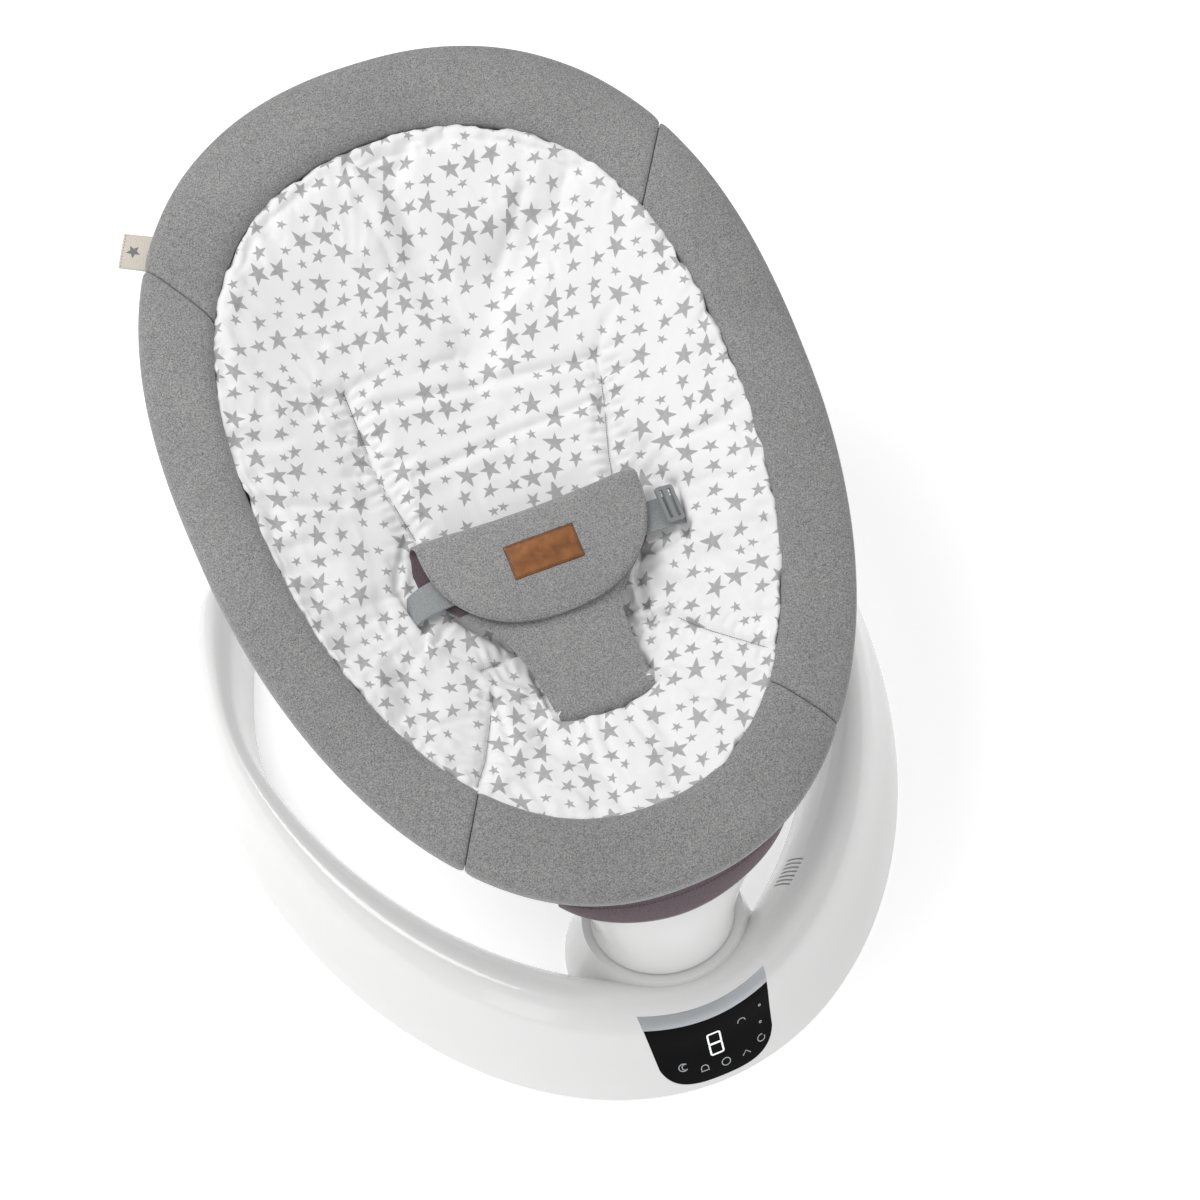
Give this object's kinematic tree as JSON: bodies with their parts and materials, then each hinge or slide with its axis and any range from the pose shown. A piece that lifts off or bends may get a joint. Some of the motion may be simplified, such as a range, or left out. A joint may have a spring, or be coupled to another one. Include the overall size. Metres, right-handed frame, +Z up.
{
  "type": "baby swing",
  "caption": "Motorised baby swing: horseshoe base with touch panel, one flared swinging neck, egg-shaped padded seat ring with cushion and belly pad.",
  "frame": {"origin": "on the floor, under the middle of the swing's length and width", "axes": "+Z up, +Y from the foot end with the panel towards the head end, +X to the right seen from the foot end"},
  "size_m": [0.5919, 0.7503, 0.4485],
  "materials": {
    "shell_white": "gloss",
    "tray_grey": "satin",
    "foot_rubber": "matt",
    "zinc_steel": "satin",
    "bronze": "satin",
    "casting": "cast",
    "nylon": "satin",
    "inner_plastic": "matt",
    "board_green": "satin",
    "panel_black": "gloss",
    "trim_silver": "satin",
    "tube_paint": "powder coat",
    "melange_grey": "woven",
    "flap_plum": "woven",
    "cushion_white": "knit",
    "pad_grey": "woven",
    "sling_grey": "woven",
    "webbing_grey": "webbing",
    "leather_brown": "satin",
    "tag_cream": "satin",
    "slider_plastic": "satin"
  },
  "bodies": {
    "base": {"base_cover": "shell_white", "base_tray": "tray_grey", "base_feet": "foot_rubber", "base_screws": "zinc_steel", "pivot_housing": "casting", "lower_bush": "bronze", "upper_bush": "bronze", "bearing_plate": "casting", "gear_motor": "zinc_steel", "motor_bracket": "inner_plastic", "control_board": "board_green", "display_module": "inner_plastic", "speaker": "inner_plastic", "power_jack": "inner_plastic", "panel_glass": "panel_black", "panel_trim": "trim_silver"},
    "pinion": {"drive_pinion": "nylon"},
    "neck": {"neck_shell_front": "shell_white", "neck_shell_rear": "shell_white", "neck_frame": "casting", "swing_shaft": "zinc_steel", "shaft_collar": "nylon", "sector_gear": "nylon", "recline_pin": "zinc_steel"},
    "handle": {"release_handle": "shell_white", "latch_rods": "zinc_steel"},
    "seat": {"seat_frame": "tube_paint", "seat_bracket": "casting", "ring_cover_head": "melange_grey", "ring_cover_foot": "melange_grey", "ring_cover_left": "melange_grey", "ring_cover_right": "melange_grey", "front_flap": "flap_plum", "seat_cushion": "cushion_white", "seat_sling": "sling_grey", "belly_pad": "pad_grey", "crotch_strap": "pad_grey", "leather_label": "leather_brown", "side_strap_left": "webbing_grey", "side_strap_right": "webbing_grey", "strap_slider": "slider_plastic", "side_tag": "tag_cream"}
  },
  "joints": [
    {"name": "swing", "type": "hinge", "parent": "base", "child": "neck", "pos_m": [0, -0.25, 0.07], "axis": [0, 0.1736, 0.9848], "range_deg": [-10, 10]},
    {"name": "pinion_spin", "type": "hinge", "parent": "base", "child": "pinion", "pos_m": [0.0356, -0.27807, 0.05972], "axis": [0, 0.1736, 0.9848], "range_deg": [-46, 46]},
    {"name": "recline", "type": "hinge", "parent": "neck", "child": "seat", "pos_m": [0, -0.2595, 0.20593], "axis": [1, 0, 0], "range_deg": [0, 10]},
    {"name": "handle_pull", "type": "slide", "parent": "neck", "child": "handle", "axis": [0, 0.9542, 0.299], "range_m": [0, 0.006], "stiffness_N_per_m": 400, "springref_m": -0.004}
  ],
  "couplings": [
    {"joint": "pinion_spin", "follows": "swing", "ratio": -4.5}
  ]
}
